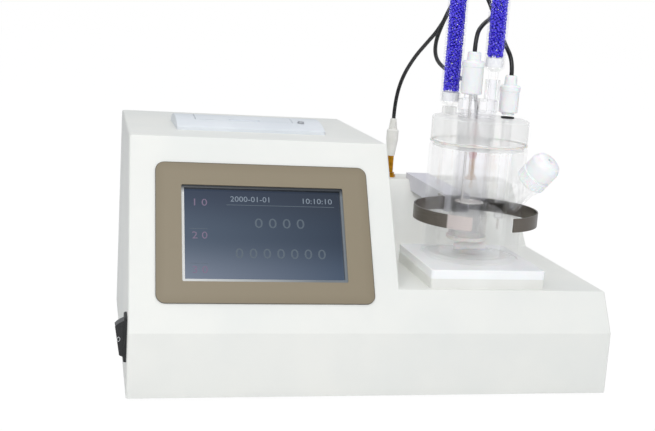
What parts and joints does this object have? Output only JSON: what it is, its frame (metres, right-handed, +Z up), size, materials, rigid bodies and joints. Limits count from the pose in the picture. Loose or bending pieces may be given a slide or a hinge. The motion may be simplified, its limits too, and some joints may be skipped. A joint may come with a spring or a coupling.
{
  "type": "coulometric titrator",
  "caption": "Bench moisture titrator: sloped-front console with display and printer, low shelf with stirrer plate, and a clamped glass cell with electrodes and drying tubes.",
  "frame": {"origin": "on the bench, under the middle of the outline that the console, printer, cell and rocker make seen from above", "axes": "+Z up, +X to the right seen from the front, +Y to the back"},
  "size_m": [0.3478, 0.251, 0.3013],
  "materials": {
    "shell": "baked enamel, fine orange peel, off-white",
    "tray": "baked enamel on the underside",
    "overlay": "satin printed polyester membrane, bronze",
    "silver": "satin anodised",
    "screen": "lit liquid-crystal display behind a touch film",
    "tin": "tin-plated sheet",
    "board": "green solder mask",
    "black_plastic": "moulded black nylon",
    "rocker": "polished black nylon",
    "printer_grey": "silver-grey moulded ABS",
    "paper": "thermal paper",
    "soft_black": "moulded rubber",
    "spacer": "beige moulded ABS",
    "plate": "white polished acrylic",
    "glass": "clear borosilicate glass",
    "acrylic": "clear turned acrylic",
    "frit": "sintered glass frit",
    "white_plastic": "white turned fluoropolymer",
    "platinum": "drawn platinum",
    "steel": "brushed stainless strip",
    "screw": "nickel-plated screws",
    "gold": "gold-plated brass",
    "gel": "blue indicating silica gel granules",
    "wool": "cotton wool",
    "silicone": "white silicone rubber",
    "red_plastic": "red moulded vinyl",
    "cable": "black vinyl cable",
    "motor": "drawn steel can"
  },
  "bodies": {
    "console": {"base_tray": "tray", "front_shell": "shell", "tower_top": "shell", "tower_wall": "shell", "left_side": "shell", "right_side": "shell", "deck_shelf": "shell", "rear_panel": "shell", "feet": "soft_black", "screws": "screw", "display_overlay": "overlay", "display_frame": "silver", "touch_screen": "screen", "display_module": "tin", "main_board": "board", "power_supply": "board", "switch_housing": "black_plastic", "mains_inlet": "black_plastic", "data_port": "tin", "printer_case": "printer_grey", "print_head": "silver", "stirrer_base": "spacer", "cell_plate": "plate", "stirrer_motor": "motor", "clamp_bracket": "printer_grey", "clamp_band": "steel", "signal_jacks": "gold"},
    "power_rocker": {"power_rocker": "rocker"},
    "printer_cover": {"printer_cover": "printer_grey"},
    "platen": {"platen_roller": "soft_black"},
    "paper_roll": {"paper_roll": "paper"},
    "feed_button": {"feed_button": "silver"},
    "stirrer_rotor": {"stirrer_rotor": "black_plastic"},
    "vessel": {"cell_vessel": "glass", "septum": "silicone"},
    "septum_cap": {"septum_cap": "white_plastic"},
    "stir_bar": {"stir_bar": "white_plastic"},
    "cell_head": {"cell_lid": "acrylic", "lid_seal": "silicone", "cathode_chamber": "glass", "chamber_frit": "frit", "chamber_head": "acrylic", "electrodes": "platinum", "cathode_cap": "white_plastic", "measuring_probe": "glass", "probe_seal": "soft_black", "probe_cap": "white_plastic", "plug_pins": "gold", "white_plug": "white_plastic", "red_plug": "red_plastic", "white_lead": "cable", "red_lead": "cable"},
    "left_tube": {"drying_tube_left": "glass", "silica_gel_left": "gel", "wool_left": "wool", "tube_stopper_left": "silicone"},
    "right_tube": {"drying_tube_right": "glass", "silica_gel_right": "gel", "wool_right": "wool", "tube_stopper_right": "silicone"}
  },
  "joints": [
    {"name": "rocker_tilt", "type": "hinge", "parent": "console", "child": "power_rocker", "pos_m": [-0.16409, -0.10525, 0.03785], "axis": [0, 1, 0], "range_deg": [0, 18]},
    {"name": "cover_hinge", "type": "hinge", "parent": "console", "child": "printer_cover", "pos_m": [-0.07809, 0.0455, 0.17001], "axis": [-1, 0, 0], "range_deg": [0, 80]},
    {"name": "platen_turn", "type": "hinge", "parent": "printer_cover", "child": "platen", "pos_m": [-0.07809, 0.016, 0.1639], "axis": [1, 0, 0], "continuous": true},
    {"name": "paper_turn", "type": "hinge", "parent": "console", "child": "paper_roll", "pos_m": [-0.07809, 0.03, 0.1484], "axis": [1, 0, 0], "continuous": true},
    {"name": "button_press", "type": "slide", "parent": "console", "child": "feed_button", "axis": [0, 0, -1], "range_m": [0, 0.0008], "stiffness_N_per_m": 300},
    {"name": "rotor_turn", "type": "hinge", "parent": "console", "child": "stirrer_rotor", "pos_m": [0.08661, -0.0565, 0.0729], "axis": [0, 0, 1], "continuous": true},
    {"name": "vessel_lift", "type": "slide", "parent": "console", "child": "vessel", "axis": [0, 0, 1], "range_m": [0, 0.045]},
    {"name": "cap_turn", "type": "hinge", "parent": "vessel", "child": "septum_cap", "pos_m": [0.10927, -0.08448, 0.1385], "axis": [0.4129, -0.5099, 0.7547], "range_deg": [0, 360]},
    {"name": "bar_turn", "type": "hinge", "parent": "vessel", "child": "stir_bar", "pos_m": [0.08661, -0.0565, 0.093], "axis": [0, 0, 1], "continuous": true},
    {"name": "head_lift", "type": "slide", "parent": "vessel", "child": "cell_head", "axis": [0, 0, 1], "range_m": [0, 0.095]},
    {"name": "left_tube_lift", "type": "slide", "parent": "cell_head", "child": "left_tube", "axis": [0, 0, 1], "range_m": [0, 0.03]},
    {"name": "right_tube_lift", "type": "slide", "parent": "cell_head", "child": "right_tube", "axis": [0, 0, 1], "range_m": [0, 0.03]}
  ],
  "couplings": [
    {"joint": "bar_turn", "follows": "rotor_turn", "ratio": 1},
    {"joint": "platen_turn", "follows": "paper_turn", "ratio": -3.5}
  ]
}
